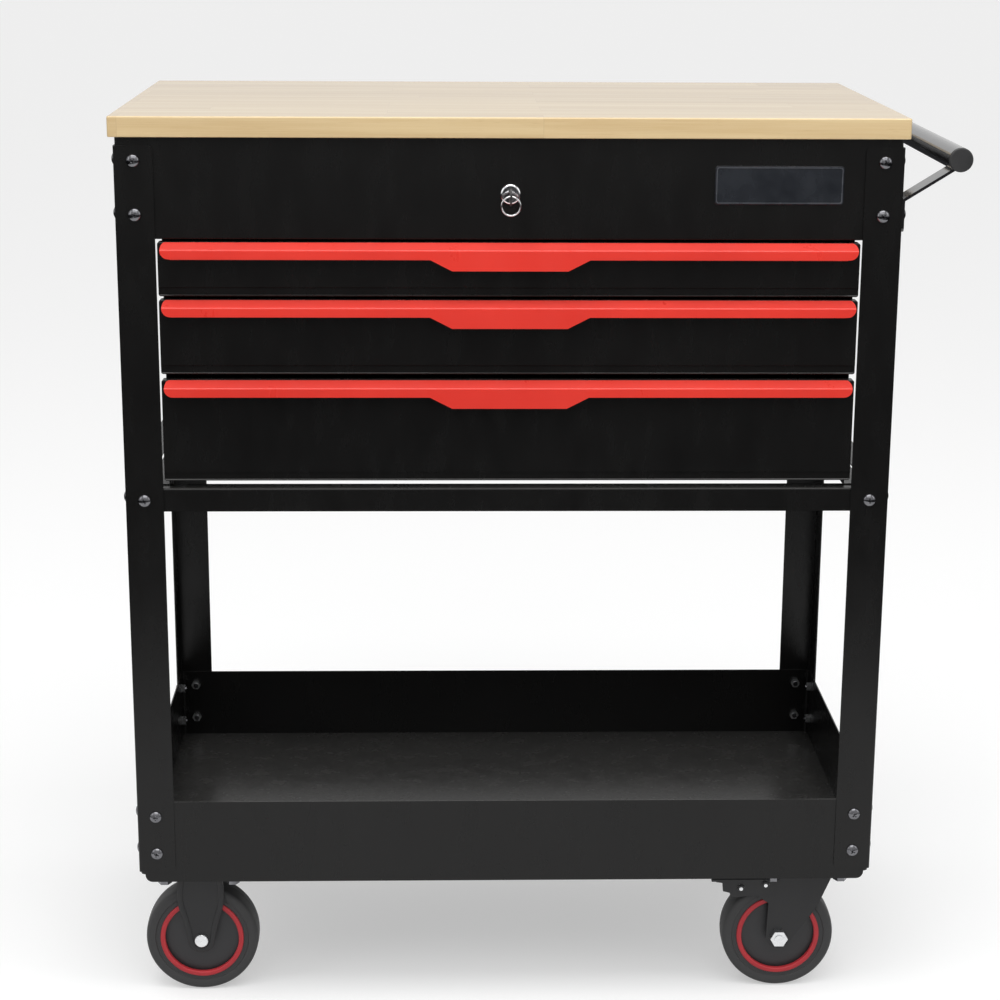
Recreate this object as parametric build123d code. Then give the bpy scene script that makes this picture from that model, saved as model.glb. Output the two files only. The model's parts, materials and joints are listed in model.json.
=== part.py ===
"""Rolling tool chest: a bolted steel cart with a wooden worktop, three drawers, a tray and four casters.

Millimetres. X runs along the width, -Y is the drawer side and Z is up from the floor.
Everything is drawn about the middle of the cabinet, and save() moves it to the row's origin:
the middle of the whole footprint, which takes in the push handle and the key.
"""

import math
import os

from build123d import *

# Worktop and overall size
worktop_width = 814.0
worktop_depth = 447.0
worktop_thickness = 21.0
overall_height = 980.0
handle_reach = 66.0
key_reach = 20.5

# Angle posts
post_half_width = 402.5
post_half_depth = 218.5
post_leg = 40.0
post_sheet = 1.5
post_bottom = 157.7
post_top = 950.0

# Sheet panels between the posts
panel_half_width = post_half_width - post_sheet
panel_half_depth = post_half_depth - post_sheet
sheet = 1.2
panel_corner = 5.0
header_bottom = 855.0
header_lip = 14.0
tray_bottom = 154.2
tray_top = 239.0
rail_bottom = 567.0
rail_top = 592.0
rail_sheet = 1.5
rail_flange = 20.0
channel_bottom = 145.0
channel_half_length = 396.0
channel_depth = 100.0
channel_sheet = 1.5

# Frame screws, at the same heights on both legs of every post
screw_heights = (935.0, 880.0, 579.0, 222.0, 179.0)
bracket_screw_height = 880.0
screw_edge_distance = 20.0
screw_shank_radius = 3.0
screw_hole_radius = 3.2
screw_head_radius = 7.0
screw_head_height = 4.2
nut_across_flats = 10.0
nut_height = 5.0

# Drawer housing and slides
housing_inner_half_width = 356.5
housing_front = -202.0
housing_rear = 201.0
housing_flange = 20.0
slide_room = 12.9
slide_height = 35.0
drawer_travel = 360.0
slide_length = drawer_travel + 30.0
slide_front = -200.0
slide_sheet = 1.2
slide_gap = 0.5

# Drawers, from the top one down: bottom and top of the front panel
drawer_fronts = ((796.0, 852.0), (714.5, 792.4), (600.5, 708.3))
drawer_front_half_width = 361.0
drawer_front_face = -217.5
drawer_front_return = 12.0
drawer_half_width = housing_inner_half_width - slide_room
drawer_rear = 195.0
drawer_sheet = 1.0
drawer_floor_rise = 4.5
drawer_side_drop = 6.2
hem_height = 9.0
hem_step = 1.6
hem_foot = 1.9
hem_bevel = 0.7

# Drawer pulls
pull_half_length = 357.0
pull_reach = 14.0
pull_slope_height = 6.0
pull_lip_height = 9.5
pull_wall = 1.4
pull_back_height = 18.0
pull_end_radius = 8.5
pull_top_corner = 4.5
pull_ridge_radius = 2.0
tab_height = 11.8
tab_half_width_top = 82.5
tab_half_width_bottom = 59.5

# Nameplate and lock
plate_centre_x = 274.8
plate_centre_z = 911.5
plate_width = 132.0
plate_height = 39.5
plate_thickness = 1.5
lock_z = 902.0
lock_flange_radius = 10.5
lock_flange_height = 3.5
lock_barrel_radius = 9.0
lock_barrel_length = 24.0
lock_bore_radius = 6.05
plug_radius = 6.0
plug_length = 30.0
cam_thickness = 2.5
pin_radius = 2.0
pin_offset = 4.0
lock_bar_travel = 8.0
lock_bar_width = 24.0
lock_bar_thickness = 2.5
lock_arm_z = 922.0
hook_length = lock_bar_travel - 1.0

# Key and ring
key_thickness = 2.0
key_bow_radius = 10.0
key_hole_radius = 2.6
ring_radius = 9.6
ring_wire_radius = 0.9

# Push handle
tube_radius = 12.5
tube_wall = 1.5
tube_half_length = 214.0
tube_z = 937.5
tube_x = worktop_width / 2 + handle_reach - tube_radius
cap_thickness = 3.0
cap_plug_length = 12.0
bracket_width = 30.0
bracket_thickness = 3.0
bracket_flange_bottom = 863.0
bracket_bend_z = 895.0
strap_angle = 32.0

# Casters
wheel_radius = 63.0
wheel_width = 34.0
wheel_centre_y = 170.0
rim_radius = 50.0
hub_boss_radius = 13.0
hub_boss_half_width = 18.6
axle_radius = 5.0
axle_bore_radius = 5.05
rigid_caster_x = -339.5
swivel_axis_x = 336.0
swivel_trail = 27.5
caster_plate_length = 95.0
caster_plate_width = 80.0
caster_plate_thickness = 3.0
caster_bolt_spacing_x = 75.0
caster_bolt_spacing_y = 60.0
caster_bolt_radius = 4.0
caster_hole_radius = 4.25
caster_bolt_flats = 13.0
fork_inner_half_width = 19.0
fork_sheet = 3.0
raceway_radius = 28.0
kingpin_radius = 6.0
kingpin_bore_radius = 6.08
brake_pivot_x = 291.5
brake_pivot_z = 127.5
brake_pivot_radius = 2.5
brake_shoe_x = 264.0
brake_shoe_z = 123.5

# The row's origin, from the middle of the cabinet
origin_x = -handle_reach / 2
origin_y = key_reach / 2

standing = (Align.CENTER, Align.CENTER, Align.MIN)


def block(x_range, y_range, z_range):
    """A box from its low and high corners."""
    low = (x_range[0], y_range[0], z_range[0])
    size = (x_range[1] - x_range[0], y_range[1] - y_range[0], z_range[1] - z_range[0])
    return Pos(*low) * Box(*size, align=(Align.MIN, Align.MIN, Align.MIN))


def rod_x(x_range, y, z, radius):
    """A round bar along X."""
    length = x_range[1] - x_range[0]
    return Pos(x_range[0], y, z) * Rot(0, 90, 0) * Cylinder(radius, length, align=standing)


def rod_y(x, y_range, z, radius):
    """A round bar along Y."""
    length = y_range[1] - y_range[0]
    return Pos(x, y_range[1], z) * Rot(90, 0, 0) * Cylinder(radius, length, align=standing)


def rod_z(x, y, z_range, radius):
    """A round bar along Z."""
    length = z_range[1] - z_range[0]
    return Pos(x, y, z_range[0]) * Cylinder(radius, length, align=standing)


def hexagon_bar(across_flats, length):
    """A hexagonal bar standing on the origin along +Z."""
    return extrude(RegularPolygon(across_flats / math.sqrt(3), 6), length)


def rounded_box(half_x, half_y, z_range, radius):
    """An upright box with rounded upright corners, centred on the cabinet."""
    profile = RectangleRounded(2 * half_x, 2 * half_y, radius)
    return Pos(0, 0, z_range[0]) * extrude(profile, z_range[1] - z_range[0])


def plate_xz(points, y_range):
    """A flat plate cut to an outline in the XZ plane, thick along Y."""
    outline = make_face(Polyline(*[(x, y_range[0], z) for x, z in points], close=True))
    return extrude(outline, y_range[1] - y_range[0], dir=(0, 1, 0))


def plate_yz(points, x_range):
    """A section in the YZ plane, run along X."""
    outline = make_face(Polyline(*[(x_range[0], y, z) for y, z in points], close=True))
    return extrude(outline, x_range[1] - x_range[0], dir=(1, 0, 0))


def mirrored_x(shape):
    """The shape or list of shapes on the other side of the cabinet, left for right."""
    if isinstance(shape, list):
        return [mirrored_x(one) for one in shape]
    return mirror(shape, about=Plane.YZ)


def mirrored_y(shape):
    """The shape or list of shapes on the other side of the cabinet, front for rear."""
    if isinstance(shape, list):
        return [mirrored_y(one) for one in shape]
    return mirror(shape, about=Plane.XZ)


def cut_into_plates(shape, regions):
    """A folded sheet cut at its bends into plates that touch: one plate or more in each region."""
    plates = []
    for region in regions:
        plates += (shape & region).solids()
    return plates


def wall_regions(corner, z_range):
    """Eight blocks round the panel's outline: four straight walls and the four corners between them."""
    straight_x = panel_half_width - corner
    straight_y = panel_half_depth - corner
    out_x = panel_half_width + 1
    out_y = panel_half_depth + 1
    x_bands = [(-out_x, -straight_x), (-straight_x, straight_x), (straight_x, out_x)]
    y_bands = [(-out_y, -straight_y), (-straight_y, straight_y), (straight_y, out_y)]
    middle = (x_bands[1], y_bands[1])
    outline = [(x_band, y_band) for x_band in x_bands for y_band in y_bands if (x_band, y_band) != middle]
    return [block(x_band, y_band, z_range) for x_band, y_band in outline]


def post_screw_places():
    """Every frame screw as (x, y, z, direction), the direction pointing out of the post."""
    places = []
    for side in (-1, 1):
        for end in (-1, 1):
            for z in screw_heights:
                face_x = side * (post_half_width - screw_edge_distance)
                side_y = end * (post_half_depth - screw_edge_distance)
                places.append((face_x, end * post_half_depth, z, (0, end, 0)))
                places.append((side * post_half_width, side_y, z, (side, 0, 0)))
    return places


def screw_holes():
    """Bars that cut the frame screws' holes through posts and panels."""
    reach = 8.0
    bars = []
    for x, y, z, (dx, dy, _) in post_screw_places():
        if dx:
            bars.append(rod_x((x - reach, x + reach), y, z, screw_hole_radius))
        else:
            bars.append(rod_y(x, (y - reach, y + reach), z, screw_hole_radius))
    return bars


def holes_within(bars, z_range):
    return [bar for bar in bars if z_range[0] < bar.center().Z < z_range[1]]


def worktop_screw_places():
    return [(x, y) for x in (-330.0, 0.0, 330.0) for y in (-170.0, 170.0)]


def make_worktop():
    half_width = worktop_width / 2
    half_depth = worktop_depth / 2
    bottom = overall_height - worktop_thickness
    board = block((-half_width, half_width), (-half_depth, half_depth), (bottom, overall_height))
    board = fillet(board.edges().filter_by(Axis.Z), 3.0)
    board = fillet(board.faces().sort_by(Axis.Z)[-1].edges(), 1.6)
    board = chamfer(board.faces().sort_by(Axis.Z)[0].edges(), 0.6)
    for x, y in worktop_screw_places():
        board -= rod_z(x, y, (bottom - 1, bottom + 15), 2.55)
    return board


def make_worktop_screws():
    """Pan-head wood screws, up through the header's top sheet into the board."""
    board_bottom = overall_height - worktop_thickness
    screws = []
    for x, y in worktop_screw_places():
        shank = rod_z(x, y, (board_bottom - sheet, board_bottom + 14), 2.5)
        head = rod_z(x, y, (board_bottom - sheet - 3.0, board_bottom - sheet), 4.8)
        screws.append(shank + head)
    return screws


def make_header(bars):
    """The box under the worktop: four walls, a top sheet and a lip turned in at the bottom."""
    top = overall_height - worktop_thickness
    corner = panel_corner
    outer = rounded_box(panel_half_width, panel_half_depth, (header_bottom, top), corner)
    outer = fillet(outer.faces().sort_by(Axis.Z)[0].edges(), 1.5)
    inner_x = panel_half_width - sheet
    inner_y = panel_half_depth - sheet
    cavity = rounded_box(inner_x, inner_y, (header_bottom + sheet, top - sheet), corner - sheet)
    mouth_x = panel_half_width - header_lip
    mouth_y = panel_half_depth - header_lip
    mouth = block((-mouth_x, mouth_x), (-mouth_y, mouth_y), (header_bottom - 1, header_bottom + sheet + 1))
    header = outer - cavity - mouth
    header -= holes_within(bars, (header_bottom, top))
    header -= rod_y(0, (-panel_half_depth - 2, -panel_half_depth + 4), lock_z, lock_barrel_radius + 0.2)
    for x, y in worktop_screw_places():
        header -= rod_z(x, y, (top - sheet - 1, top + 1), 2.8)
    out_x = panel_half_width + 1
    out_y = panel_half_depth + 1
    lip = (header_bottom - 1, header_bottom + sheet)
    regions = [block((-out_x, out_x), (-out_y, out_y), (top - sheet, top + 1))]
    regions += wall_regions(corner, (header_bottom + sheet, top - sheet))
    regions += [block((-out_x, out_x), y_band, lip) for y_band in ((-out_y, -mouth_y), (mouth_y, out_y))]
    regions += [block(x_band, (-mouth_y, mouth_y), lip) for x_band in ((-out_x, -mouth_x), (mouth_x, out_x))]
    return cut_into_plates(header, regions)


def make_post(side, end, bars):
    """One angle post, bent from sheet, with its foot and head corners rounded."""
    leg = post_leg
    outline = Polyline(
        (0, 0), (leg, 0), (leg, post_sheet), (post_sheet, post_sheet), (post_sheet, leg), (0, leg), close=True
    )
    section = make_face(outline)
    outer_corner = section.vertices().sort_by_distance((0, 0, 0))[0]
    section = fillet(outer_corner, 2.4)
    inner_corner = section.vertices().sort_by_distance((post_sheet, post_sheet, 0))[0]
    section = fillet(inner_corner, 0.9)
    post = Pos(0, 0, post_bottom) * extrude(section, post_top - post_bottom)
    ends = post.edges().filter_by(lambda edge: abs(edge.length - post_sheet) < 0.01)
    tips = [edge for edge in ends if max(edge.center().X, edge.center().Y) > leg - 0.1]
    post = fillet(tips, 5.0)
    post = Pos(-post_half_width, -post_half_depth, 0) * post
    if side > 0:
        post = mirrored_x(post)
    if end > 0:
        post = mirrored_y(post)
    near = [bar for bar in bars if bar.center().X * side > 0 and bar.center().Y * end > 0]
    post -= near
    bend = post_half_depth - post_sheet
    whole_x = (-post_half_width - 1, post_half_width + 1)
    height = (post_bottom - 1, post_top + 1)
    outside = block(whole_x, (bend, post_half_depth + 1), height)
    inside = block(whole_x, (0, bend), height)
    regions = [outside, inside] if end > 0 else [mirrored_y(outside), mirrored_y(inside)]
    return cut_into_plates(post, regions)


def rail_section(face, inward):
    """An angle section, flange on top: face is the outer face, inward points to the cabinet's middle."""
    back = face + inward * rail_sheet
    edge = face + inward * rail_flange
    return [
        (face, rail_bottom), (back, rail_bottom), (back, rail_top - rail_sheet),
        (edge, rail_top - rail_sheet), (edge, rail_top), (face, rail_top),
    ]


def make_front_rail(bars):
    points = rail_section(-panel_half_depth, 1)
    half_length = panel_half_width - 1.0
    rail = plate_yz(points, (-half_length, half_length))
    edges = rail.edges().filter_by(Axis.X).sort_by_distance((0, -panel_half_depth, rail_top))
    rail = fillet(edges[0], 2.0)
    return rail - holes_within(bars, (rail_bottom, rail_top))


def make_side_rails(bars):
    """The two short rails, between the front and rear ones."""
    flange_half_length = panel_half_depth - rail_flange - 0.2
    wall_half_length = panel_half_depth - rail_sheet - 0.2
    angle = plate_xz(rail_section(-panel_half_width, 1), (-flange_half_length, flange_half_length))
    wall = block(
        (-panel_half_width, -panel_half_width + rail_sheet),
        (-wall_half_length, wall_half_length),
        (rail_bottom, rail_top - rail_sheet - 0.2),
    )
    rail = (angle + wall) - holes_within(bars, (rail_bottom, rail_top))
    flange_bottom = rail_top - rail_sheet - 0.2
    whole_x = (-panel_half_width - 1, -panel_half_width + rail_flange + 1)
    whole_y = (-panel_half_depth, panel_half_depth)
    regions = [
        block(whole_x, whole_y, (rail_bottom - 1, flange_bottom)),
        block(whole_x, whole_y, (flange_bottom, rail_top + 1)),
    ]
    plates = cut_into_plates(rail, regions)
    return plates + mirrored_x(plates)


def make_tray(bars):
    """The open tray: a floor and four equal walls with rounded corners."""
    corner = panel_corner
    outer = rounded_box(panel_half_width, panel_half_depth, (tray_bottom, tray_top), corner)
    inner_width = panel_half_width - sheet
    inner_depth = panel_half_depth - sheet
    inner = rounded_box(inner_width, inner_depth, (tray_bottom + sheet, tray_top + 1), corner - sheet)
    tray = outer - inner
    tray -= holes_within(bars, (tray_bottom, tray_top))
    floor_range = (tray_bottom - 1, tray_bottom + sheet)
    between_walls = rounded_box(inner_width, inner_depth, floor_range, corner - sheet)
    walls = tray - between_walls
    plates = cut_into_plates(tray, [between_walls])
    return plates + cut_into_plates(walls, wall_regions(corner, (tray_bottom - 1, tray_top + 1)))


def caster_centres():
    return [(x, y) for x in (rigid_caster_x, swivel_axis_x) for y in (-wheel_centre_y, wheel_centre_y)]


def caster_bolt_places():
    places = []
    for x, y in caster_centres():
        for dx in (-1, 1):
            for dy in (-1, 1):
                places.append((x + dx * caster_bolt_spacing_x / 2, y + dy * caster_bolt_spacing_y / 2))
    return places


def make_base_channels():
    """Two shallow channels under the tray that stiffen it and carry the casters."""
    front = -panel_half_depth
    rear = front + channel_depth
    shell = block((-channel_half_length, channel_half_length), (front, rear), (channel_bottom, tray_bottom))
    lower_ends = shell.edges().filter_by(Axis.Y).group_by(Axis.Z)[0]
    shell = fillet(lower_ends, 8.0)
    cavity = block(
        (-channel_half_length + 9, channel_half_length - 9),
        (front + channel_sheet, rear - channel_sheet),
        (channel_bottom + channel_sheet, tray_bottom + 1),
    )
    channel = shell - cavity
    for x, y in caster_bolt_places():
        if y < 0:
            channel -= rod_z(x, y, (channel_bottom - 1, channel_bottom + 4), caster_hole_radius)
    end_x = channel_half_length - 9
    floor_top = channel_bottom + channel_sheet
    out_x = channel_half_length + 1
    whole_y = (front - 1, rear + 1)
    whole_z = (channel_bottom - 1, tray_bottom + 1)
    walls = ((front - 1, front + channel_sheet), (rear - channel_sheet, rear + 1))
    regions = [block((-out_x, -end_x), whole_y, whole_z), block((end_x, out_x), whole_y, whole_z)]
    regions += [block((-end_x, end_x), whole_y, (channel_bottom - 1, floor_top))]
    regions += [block((-end_x, end_x), wall, (floor_top, tray_bottom + 1)) for wall in walls]
    plates = cut_into_plates(channel, regions)
    return plates + mirrored_y(plates)


def make_housing_side():
    """The left side of the drawer housing, with flanges turned outwards at top and bottom."""
    top = overall_height - worktop_thickness - sheet
    outer = -housing_inner_half_width - sheet
    wall = block((outer, outer + sheet), (housing_front, housing_rear), (rail_top, top))
    flanges = [
        block((outer - housing_flange, outer), (housing_front, housing_rear), (z, z + sheet))
        for z in (rail_top, top - sheet)
    ]
    return wall + flanges


def make_housing_back():
    """The sheet behind the drawers."""
    top = overall_height - worktop_thickness - sheet
    half = housing_inner_half_width + sheet
    return block((-half, half), (housing_rear, housing_rear + sheet), (rail_top, top))


def slide_centre(drawer):
    low, high = drawer_fronts[drawer]
    return (low + high) / 2 - 1.0


def c_section(web_x, lip_x, half_height):
    """A channel section in XZ about z = 0: an upright web and two lips running to lip_x."""
    inward = 1 if lip_x > web_x else -1
    web_back = web_x + inward * slide_sheet
    inner = half_height - slide_sheet
    return [
        (web_x, -half_height), (lip_x, -half_height), (lip_x, -inner), (web_back, -inner),
        (web_back, inner), (lip_x, inner), (lip_x, half_height), (web_x, half_height),
    ]


def make_slide_pair(web, lip, half_height, z):
    """One member of both slides of a drawer; web and lip are distances in from the housing's wall."""
    wall = -housing_inner_half_width
    points = [(x, z + dz) for x, dz in c_section(wall + web, wall + lip, half_height)]
    left = plate_xz(points, (slide_front, slide_front + slide_length))
    inner = half_height - slide_sheet
    levels = [z - half_height - 1, z - inner, z + inner, z + half_height + 1]
    whole_x = (wall - 1, wall + slide_room + 5)
    whole_y = (slide_front - 1, slide_front + slide_length + 1)
    regions = [block(whole_x, whole_y, pair) for pair in zip(levels, levels[1:])]
    plates = cut_into_plates(left, regions)
    return plates + mirrored_x(plates)


def make_slide_outers():
    pairs = []
    for drawer in range(3):
        pairs += make_slide_pair(0.0, 9.5, slide_height / 2, slide_centre(drawer))
    return pairs


def make_slide_middles(drawer):
    half_height = slide_height / 2 - slide_sheet - slide_gap
    web = slide_sheet + slide_gap
    return make_slide_pair(web, 10.6, half_height, slide_centre(drawer))


def make_slide_inners(drawer):
    half_height = slide_height / 2 - 2 * slide_sheet - 2 * slide_gap
    lip = 2 * slide_sheet + 2 * slide_gap + 1.0
    return make_slide_pair(slide_room, lip, half_height, slide_centre(drawer))


def make_drawer(drawer):
    """A folded drawer: a box with its front panel, whose sides and foot are turned back."""
    low, high = drawer_fronts[drawer]
    face = drawer_front_face
    back = face + drawer_front_return
    half = drawer_front_half_width
    front = block((-half, half), (face, back), (low, high))
    front = fillet(front.edges().filter_by(Axis.Y), 2.5)
    front_edges = front.faces().sort_by(Axis.Y)[0].edges()
    front = fillet(front_edges, 1.2)
    groove = [
        (face - 1, low + hem_foot - 1 - hem_bevel), (face + hem_bevel, low + hem_foot),
        (face + hem_step, low + hem_foot), (face + hem_step, low + hem_height),
        (face + hem_bevel, low + hem_height), (face - 1, low + hem_height + 1 + hem_bevel),
    ]
    front -= plate_yz(groove, (-half - 1, half + 1))
    hollow = block(
        (-half + drawer_sheet, half - drawer_sheet),
        (face + drawer_sheet + hem_step, back + 1),
        (low + drawer_sheet, high - drawer_sheet),
    )
    front -= hollow
    side_bottom = low + drawer_floor_rise
    side_top = high - drawer_side_drop
    width = drawer_half_width
    box_front = face + drawer_sheet + hem_step
    box = block((-width, width), (box_front, drawer_rear), (side_bottom, side_top))
    box -= block(
        (-width + drawer_sheet, width - drawer_sheet),
        (box_front + drawer_sheet, drawer_rear - drawer_sheet),
        (side_bottom + drawer_sheet, side_top + 1),
    )
    wall_y = box_front + drawer_sheet
    rear_y = drawer_rear - drawer_sheet
    side_x = width - drawer_sheet
    floor_z = side_bottom + drawer_sheet
    out_x = half + 1
    regions = [
        block((-out_x, out_x), (face - 1, wall_y), (low - 1, high + 1)),
        block((-out_x, out_x), (rear_y, drawer_rear + 1), (low - 1, high + 1)),
        block((-out_x, -side_x), (wall_y, rear_y), (low - 1, high + 1)),
        block((side_x, out_x), (wall_y, rear_y), (low - 1, high + 1)),
        block((-side_x, side_x), (wall_y, rear_y), (low - 1, floor_z)),
        block((-side_x, side_x), (wall_y, rear_y), (floor_z, high + 1)),
    ]
    return cut_into_plates(front + box, regions)


def pull_section(top):
    """The pull's section in YZ: a back plate, a sloping top and a lip that hangs in front."""
    back = drawer_front_face
    lip_front = back - pull_reach
    lip_top = top - pull_slope_height
    lip_bottom = lip_top - pull_lip_height - tab_height
    return [
        (back, top), (lip_front, lip_top), (lip_front, lip_bottom), (lip_front + pull_wall, lip_bottom),
        (lip_front + pull_wall, lip_top - pull_wall), (back - pull_wall, top - pull_wall - 1.0),
        (back - pull_wall, top - pull_back_height), (back, top - pull_back_height),
    ]


def make_pull(drawer):
    """The full-width pull, its lip deepened in the middle into a tab."""
    top = drawer_fronts[drawer][1]
    pull = plate_yz(pull_section(top), (-pull_half_length, pull_half_length))
    lip_bottom = top - pull_slope_height - pull_lip_height
    tab_bottom = lip_bottom - tab_height
    cut_y = (drawer_front_face - pull_reach - 1, drawer_front_face - pull_wall - 1)
    corner = pull_end_radius
    end_arc = [
        (
            pull_half_length - corner + corner * math.sin(math.radians(angle)),
            lip_bottom + corner - corner * math.cos(math.radians(angle)),
        )
        for angle in range(0, 91, 15)
    ]
    outside = pull_half_length + 1
    right_cut = [(tab_half_width_bottom, tab_bottom - 1), (tab_half_width_bottom, tab_bottom)]
    right_cut += [(tab_half_width_top, lip_bottom)] + end_arc
    right_cut += [(outside, lip_bottom + corner), (outside, tab_bottom - 1)]
    cutter = plate_xz(right_cut, cut_y)
    back_end = block(
        (pull_half_length - corner, outside),
        (drawer_front_face - pull_wall - 0.5, drawer_front_face + 1),
        (top - pull_back_height - 1, top - pull_top_corner - 2.0),
    )
    arc_x = pull_half_length - pull_top_corner
    arc_z = top - pull_top_corner
    whole_depth = (drawer_front_face - pull_reach - 1, drawer_front_face + 1)
    top_corner = block((arc_x, outside), whole_depth, (arc_z, top + 1))
    top_corner -= rod_y(arc_x, whole_depth, arc_z, pull_top_corner)
    for cut in (cutter, back_end, top_corner):
        pull = pull - cut - mirrored_x(cut)
    ridge_point = (0, drawer_front_face - pull_reach, top - pull_slope_height)
    ridge = pull.edges().filter_by(Axis.X).sort_by_distance(ridge_point)[0]
    return fillet(ridge, pull_ridge_radius)


def make_nameplate():
    """A blank badge plate on the header's front."""
    face = -panel_half_depth
    half_width = plate_width / 2
    half_height = plate_height / 2
    plate = block(
        (plate_centre_x - half_width, plate_centre_x + half_width),
        (face - plate_thickness, face),
        (plate_centre_z - half_height, plate_centre_z + half_height),
    )
    plate = fillet(plate.edges().filter_by(Axis.Y), 3.0)
    return chamfer(plate.faces().sort_by(Axis.Y)[0].edges(), 0.4)


def make_lock_housing():
    """The lock's body: a domed flange in front of the header's wall and a barrel behind it."""
    face = -panel_half_depth
    flange = rod_y(0, (face - lock_flange_height, face), lock_z, lock_flange_radius)
    flange = fillet(flange.faces().sort_by(Axis.Y)[0].edges(), 2.2)
    barrel = rod_y(0, (face, face + lock_barrel_length), lock_z, lock_barrel_radius)
    return flange + barrel - rod_y(0, (face - 10, face + 40), lock_z, lock_bore_radius)


def make_lock_plug():
    """The part that the key turns, with a keyway in its face."""
    front = -panel_half_depth - lock_flange_height + 0.6
    plug = rod_y(0, (front, front + plug_length), lock_z, plug_radius)
    keyway_half = key_thickness / 2 + 0.15
    keyway = block((-keyway_half, keyway_half), (front - 1, front + 20.2), (lock_z - 4.15, lock_z + 4.15))
    return plug - keyway


def cam_front():
    return -panel_half_depth - lock_flange_height + 0.6 + plug_length


def make_lock_cam():
    """The cam on the plug's tail, with the pin that moves the lock bar."""
    front = cam_front()
    back = front + cam_thickness
    arm = rod_y(0, (front, back), lock_z, 8.0)
    pin = rod_y(pin_offset, (back, back + 5.0), lock_z + pin_offset, pin_radius)
    return arm + pin


def make_lock_bar():
    """One bar from the lock to the back of the housing and down behind the drawers, with a hook for each."""
    half = lock_bar_width / 2
    thickness = lock_bar_thickness
    tab_front = cam_front() + cam_thickness + 0.8
    tab_back = tab_front + thickness
    bar_front = 196.5
    bar_back = bar_front + thickness
    arm = block((-half, half), (tab_front, bar_back), (lock_arm_z, lock_arm_z + thickness))
    tab = block((-half, half), (tab_front, tab_back), (lock_z - 6, lock_arm_z))
    slot_half = pin_radius + 0.4
    pin_z = lock_z + pin_offset
    slot = block((-3.0, half - 2.5), (tab_front - 1, tab_back + 1), (pin_z - slot_half, pin_z + slot_half))
    upright = block((-half, half), (bar_front, bar_back), (690.0, lock_arm_z))
    bar = arm + tab + upright - slot
    for low, high in drawer_fronts:
        wall_top = high - drawer_side_drop
        lip_bottom = wall_top + 2.0
        top = lip_bottom + hook_length + 2.0
        lip_back = drawer_rear - drawer_sheet - 1.0
        bar += block((-half, half), (lip_back - 2.0, bar_front), (top - 2.0, top))
        bar += block((-half, half), (lip_back - 2.0, lip_back), (lip_bottom, top))
    return bar


def make_key():
    """A flat key: a round bow in front of the lock and a blade in the plug."""
    plug_front = -panel_half_depth - lock_flange_height + 0.6
    bow_front = -worktop_depth / 2 - key_reach
    half = key_thickness / 2
    bow = rod_x((-half, half), bow_front + key_bow_radius, lock_z, key_bow_radius)
    neck = block((-half, half), (bow_front + key_bow_radius, plug_front - 0.4), (lock_z - 5, lock_z + 5))
    blade = block((-half, half), (plug_front - 0.4, plug_front + 19.5), (lock_z - 4, lock_z + 4))
    hole = rod_x((-2 * half, 2 * half), ring_pivot_y(), lock_z, key_hole_radius)
    return bow + neck + blade - hole


def ring_pivot_y():
    return -worktop_depth / 2 - key_reach + 5.5


def make_key_ring():
    """A wire ring that hangs through the hole of the key's bow."""
    ring = Rot(90, 0, 0) * Torus(ring_radius, ring_wire_radius)
    return Pos(0, ring_pivot_y(), lock_z - ring_radius) * ring


def make_handle_tube():
    outer = rod_y(tube_x, (-tube_half_length, tube_half_length), tube_z, tube_radius)
    past_end = tube_half_length + 1
    return outer - rod_y(tube_x, (-past_end, past_end), tube_z, tube_radius - tube_wall)


def make_handle_caps():
    """Plastic caps pressed into both ends of the tube."""
    end = -tube_half_length
    cap = rod_y(tube_x, (end - cap_thickness, end), tube_z, tube_radius)
    cap = fillet(cap.faces().sort_by(Axis.Y)[0].edges(), 1.5)
    cap += rod_y(tube_x, (end, end + cap_plug_length), tube_z, tube_radius - tube_wall)
    return [cap, mirrored_y(cap)]


def make_handle_brackets():
    """A bent strap at each end of the tube: a flange on the post and an arm that cradles the tube."""
    inner = post_half_width
    outer = inner + bracket_thickness
    cosine = math.cos(math.radians(strap_angle))
    sine = math.sin(math.radians(strap_angle))
    slope = sine / cosine
    thick = bracket_thickness
    end_x = tube_x - tube_radius / 5
    end_z = bracket_bend_z + (end_x - outer) * slope
    points = [
        (inner, bracket_flange_bottom), (outer, bracket_flange_bottom), (outer, bracket_bend_z),
        (end_x, end_z), (end_x - thick * sine, end_z + thick * cosine),
        (inner, bracket_bend_z + thick / cosine - thick * slope),
    ]
    centre = -(post_half_depth - screw_edge_distance)
    strap = plate_xz(points, (centre - bracket_width / 2, centre + bracket_width / 2))
    strap -= rod_y(tube_x, (-tube_half_length - 10, tube_half_length + 10), tube_z, tube_radius)
    strap -= rod_x((inner - 5, outer + 5), centre, bracket_screw_height, screw_hole_radius)
    flange_foot = [
        edge
        for edge in strap.edges().filter_by(Axis.X)
        if edge.center().Z < bracket_flange_bottom + 0.1
    ]
    strap = fillet(flange_foot, 5.0)
    return [strap, mirrored_y(strap)]


def screw(grip):
    """A pan-head machine screw along +Z: its head's bearing face at z = 0, its shank downwards."""
    dome_radius = (screw_head_radius**2 + screw_head_height**2) / (2 * screw_head_height)
    head = Pos(0, 0, screw_head_height - dome_radius) * Sphere(dome_radius)
    head &= rod_z(0, 0, (0, screw_head_height + 1), screw_head_radius)
    recess = Pos(0, 0, screw_head_height - 1.6) * (
        Box(5.6, 1.3, 4, align=standing) + Box(1.3, 5.6, 4, align=standing)
    )
    return head - recess + rod_z(0, 0, (-grip, 0), screw_shank_radius)


def turned(direction):
    """The turn that takes +Z to a direction along X or Y."""
    dx, dy, _ = direction
    if dx:
        return Rot(0, 90 * dx, 0)
    return Rot(-90 * dy, 0, 0)


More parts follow.
